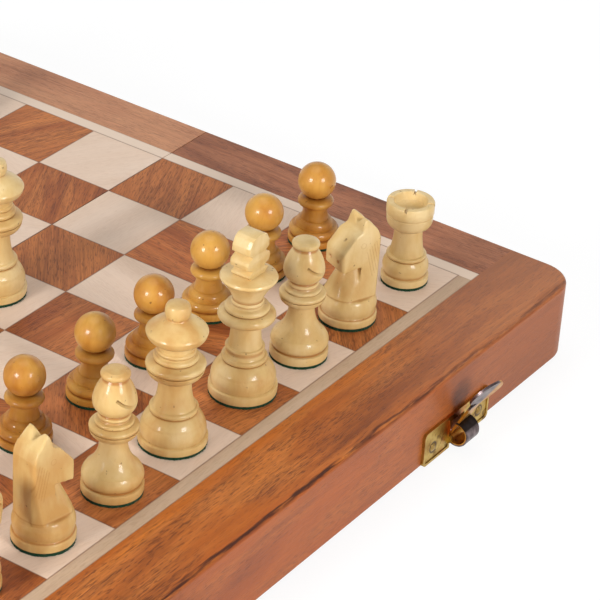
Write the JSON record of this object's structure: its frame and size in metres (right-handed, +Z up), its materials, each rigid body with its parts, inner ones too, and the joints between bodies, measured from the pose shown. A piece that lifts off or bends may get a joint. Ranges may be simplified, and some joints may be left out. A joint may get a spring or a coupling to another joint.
{
  "type": "folding chess box",
  "caption": "Folding wooden chess box, opened flat as an inlaid board, with hinged halves, two brass clasps and turned men on their squares.",
  "frame": {"origin": "middle of the fold, on the plane of the rims that the open board rests on", "axes": "+X to the right along the near edge, +Y across the fold to the far half, +Z up through the board"},
  "size_m": [0.292, 0.316, 0.083],
  "materials": {
    "rail_wood": "satin lacquer, open brown pores",
    "side_rail_wood": "satin lacquer, open brown pores",
    "panel_plywood": "raw plywood",
    "dark_square_wood": "satin lacquer, inlaid",
    "light_square_wood": "satin lacquer, inlaid",
    "strip_wood": "satin lacquer, inlaid",
    "green_felt": "pressed felt",
    "hinge_brass": "pressed, lightly worn",
    "hinge_screw_brass": "slotted, lightly worn",
    "clasp_brass": "pressed, tarnished in patches",
    "nail_brass": "domed, lightly worn",
    "men_wood_light": "turned, glossy lacquer",
    "pawn_wood_light": "turned, glossy lacquer",
    "men_wood_dark": "turned, stained, glossy lacquer"
  },
  "bodies": {
    "near_half": {"near_rail": "rail_wood", "near_side_rails": "side_rail_wood", "near_spine": "rail_wood", "near_panel": "panel_plywood", "near_dark_squares": "dark_square_wood", "near_light_squares": "light_square_wood", "near_strips": "strip_wood", "near_lining": "green_felt", "hinge_leaves_near": "hinge_brass", "hinge_pins": "hinge_brass", "hinge_screws_near": "hinge_screw_brass", "clasp_plates": "clasp_brass", "clasp_nails": "nail_brass"},
    "far_half": {"far_rail": "rail_wood", "far_side_rails": "side_rail_wood", "far_spine": "rail_wood", "far_panel": "panel_plywood", "far_dark_squares": "dark_square_wood", "far_light_squares": "light_square_wood", "far_strips": "strip_wood", "far_lining": "green_felt", "hinge_leaves_far": "hinge_brass", "hinge_screws_far": "hinge_screw_brass", "keeper_plates": "clasp_brass", "keeper_nails": "nail_brass"},
    "left_clasp": {"clasp_flap_left": "clasp_brass"},
    "right_clasp": {"clasp_flap_right": "clasp_brass"},
    "light_rook_a": {"light_rook_a": "men_wood_light"},
    "light_knight_b": {"light_knight_b": "men_wood_light"},
    "light_bishop_c": {"light_bishop_c": "men_wood_light"},
    "light_queen": {"light_queen": "men_wood_light"},
    "light_king": {"light_king": "men_wood_light"},
    "light_bishop_f": {"light_bishop_f": "men_wood_light"},
    "light_knight_g": {"light_knight_g": "men_wood_light"},
    "light_rook_h": {"light_rook_h": "men_wood_light"},
    "light_pawn_a": {"light_pawn_a": "pawn_wood_light"},
    "light_pawn_b": {"light_pawn_b": "pawn_wood_light"},
    "light_pawn_c": {"light_pawn_c": "pawn_wood_light"},
    "light_pawn_d": {"light_pawn_d": "pawn_wood_light"},
    "light_pawn_e": {"light_pawn_e": "pawn_wood_light"},
    "light_pawn_f": {"light_pawn_f": "pawn_wood_light"},
    "light_pawn_g": {"light_pawn_g": "pawn_wood_light"},
    "light_pawn_h": {"light_pawn_h": "pawn_wood_light"},
    "light_queen_spare": {"light_queen_spare": "men_wood_light"},
    "dark_rook_a": {"dark_rook_a": "men_wood_dark"},
    "dark_knight_b": {"dark_knight_b": "men_wood_dark"},
    "dark_bishop_c": {"dark_bishop_c": "men_wood_dark"},
    "dark_queen": {"dark_queen": "men_wood_dark"},
    "dark_king": {"dark_king": "men_wood_dark"},
    "dark_bishop_f": {"dark_bishop_f": "men_wood_dark"},
    "dark_knight_g": {"dark_knight_g": "men_wood_dark"},
    "dark_rook_h": {"dark_rook_h": "men_wood_dark"},
    "dark_pawn_a": {"dark_pawn_a": "men_wood_dark"},
    "dark_pawn_b": {"dark_pawn_b": "men_wood_dark"},
    "dark_pawn_c": {"dark_pawn_c": "men_wood_dark"},
    "dark_pawn_d": {"dark_pawn_d": "men_wood_dark"},
    "dark_pawn_e": {"dark_pawn_e": "men_wood_dark"},
    "dark_pawn_f": {"dark_pawn_f": "men_wood_dark"},
    "dark_pawn_g": {"dark_pawn_g": "men_wood_dark"},
    "dark_pawn_h": {"dark_pawn_h": "men_wood_dark"}
  },
  "joints": [
    {"name": "fold", "type": "hinge", "parent": "near_half", "child": "far_half", "pos_m": [0, 0, -0.0001], "axis": [-1, 0, 0], "range_deg": [0, 180]},
    {"name": "left_clasp_swing", "type": "hinge", "parent": "near_half", "child": "left_clasp", "pos_m": [-0.0723, -0.1513, 0.0033], "axis": [1, 0, 0], "range_deg": [-5, 150]},
    {"name": "right_clasp_swing", "type": "hinge", "parent": "near_half", "child": "right_clasp", "pos_m": [0.0723, -0.1513, 0.0033], "axis": [1, 0, 0], "range_deg": [-5, 150]},
    {"name": "lift_light_rook_a", "type": "slide", "parent": "near_half", "child": "light_rook_a", "axis": [0, 0, 1], "range_m": [0, 0.06]},
    {"name": "lift_light_knight_b", "type": "slide", "parent": "near_half", "child": "light_knight_b", "axis": [0, 0, 1], "range_m": [0, 0.06]},
    {"name": "lift_light_bishop_c", "type": "slide", "parent": "near_half", "child": "light_bishop_c", "axis": [0, 0, 1], "range_m": [0, 0.06]},
    {"name": "lift_light_queen", "type": "slide", "parent": "near_half", "child": "light_queen", "axis": [0, 0, 1], "range_m": [0, 0.06]},
    {"name": "lift_light_king", "type": "slide", "parent": "near_half", "child": "light_king", "axis": [0, 0, 1], "range_m": [0, 0.06]},
    {"name": "lift_light_bishop_f", "type": "slide", "parent": "near_half", "child": "light_bishop_f", "axis": [0, 0, 1], "range_m": [0, 0.06]},
    {"name": "lift_light_knight_g", "type": "slide", "parent": "near_half", "child": "light_knight_g", "axis": [0, 0, 1], "range_m": [0, 0.06]},
    {"name": "lift_light_rook_h", "type": "slide", "parent": "near_half", "child": "light_rook_h", "axis": [0, 0, 1], "range_m": [0, 0.06]},
    {"name": "lift_light_pawn_a", "type": "slide", "parent": "near_half", "child": "light_pawn_a", "axis": [0, 0, 1], "range_m": [0, 0.06]},
    {"name": "lift_light_pawn_b", "type": "slide", "parent": "near_half", "child": "light_pawn_b", "axis": [0, 0, 1], "range_m": [0, 0.06]},
    {"name": "lift_light_pawn_c", "type": "slide", "parent": "near_half", "child": "light_pawn_c", "axis": [0, 0, 1], "range_m": [0, 0.06]},
    {"name": "lift_light_pawn_d", "type": "slide", "parent": "near_half", "child": "light_pawn_d", "axis": [0, 0, 1], "range_m": [0, 0.06]},
    {"name": "lift_light_pawn_e", "type": "slide", "parent": "near_half", "child": "light_pawn_e", "axis": [0, 0, 1], "range_m": [0, 0.06]},
    {"name": "lift_light_pawn_f", "type": "slide", "parent": "near_half", "child": "light_pawn_f", "axis": [0, 0, 1], "range_m": [0, 0.06]},
    {"name": "lift_light_pawn_g", "type": "slide", "parent": "near_half", "child": "light_pawn_g", "axis": [0, 0, 1], "range_m": [0, 0.06]},
    {"name": "lift_light_pawn_h", "type": "slide", "parent": "near_half", "child": "light_pawn_h", "axis": [0, 0, 1], "range_m": [0, 0.06]},
    {"name": "lift_light_queen_spare", "type": "slide", "parent": "near_half", "child": "light_queen_spare", "axis": [0, 0, 1], "range_m": [0, 0.06]},
    {"name": "lift_dark_rook_a", "type": "slide", "parent": "far_half", "child": "dark_rook_a", "axis": [0, 0, 1], "range_m": [0, 0.06]},
    {"name": "lift_dark_knight_b", "type": "slide", "parent": "far_half", "child": "dark_knight_b", "axis": [0, 0, 1], "range_m": [0, 0.06]},
    {"name": "lift_dark_bishop_c", "type": "slide", "parent": "far_half", "child": "dark_bishop_c", "axis": [0, 0, 1], "range_m": [0, 0.06]},
    {"name": "lift_dark_queen", "type": "slide", "parent": "far_half", "child": "dark_queen", "axis": [0, 0, 1], "range_m": [0, 0.06]},
    {"name": "lift_dark_king", "type": "slide", "parent": "far_half", "child": "dark_king", "axis": [0, 0, 1], "range_m": [0, 0.06]},
    {"name": "lift_dark_bishop_f", "type": "slide", "parent": "far_half", "child": "dark_bishop_f", "axis": [0, 0, 1], "range_m": [0, 0.06]},
    {"name": "lift_dark_knight_g", "type": "slide", "parent": "far_half", "child": "dark_knight_g", "axis": [0, 0, 1], "range_m": [0, 0.06]},
    {"name": "lift_dark_rook_h", "type": "slide", "parent": "far_half", "child": "dark_rook_h", "axis": [0, 0, 1], "range_m": [0, 0.06]},
    {"name": "lift_dark_pawn_a", "type": "slide", "parent": "far_half", "child": "dark_pawn_a", "axis": [0, 0, 1], "range_m": [0, 0.06]},
    {"name": "lift_dark_pawn_b", "type": "slide", "parent": "far_half", "child": "dark_pawn_b", "axis": [0, 0, 1], "range_m": [0, 0.06]},
    {"name": "lift_dark_pawn_c", "type": "slide", "parent": "far_half", "child": "dark_pawn_c", "axis": [0, 0, 1], "range_m": [0, 0.06]},
    {"name": "lift_dark_pawn_d", "type": "slide", "parent": "far_half", "child": "dark_pawn_d", "axis": [0, 0, 1], "range_m": [0, 0.06]},
    {"name": "lift_dark_pawn_e", "type": "slide", "parent": "far_half", "child": "dark_pawn_e", "axis": [0, 0, 1], "range_m": [0, 0.06]},
    {"name": "lift_dark_pawn_f", "type": "slide", "parent": "far_half", "child": "dark_pawn_f", "axis": [0, 0, 1], "range_m": [0, 0.06]},
    {"name": "lift_dark_pawn_g", "type": "slide", "parent": "far_half", "child": "dark_pawn_g", "axis": [0, 0, 1], "range_m": [0, 0.06]},
    {"name": "lift_dark_pawn_h", "type": "slide", "parent": "far_half", "child": "dark_pawn_h", "axis": [0, 0, 1], "range_m": [0, 0.06]}
  ]
}
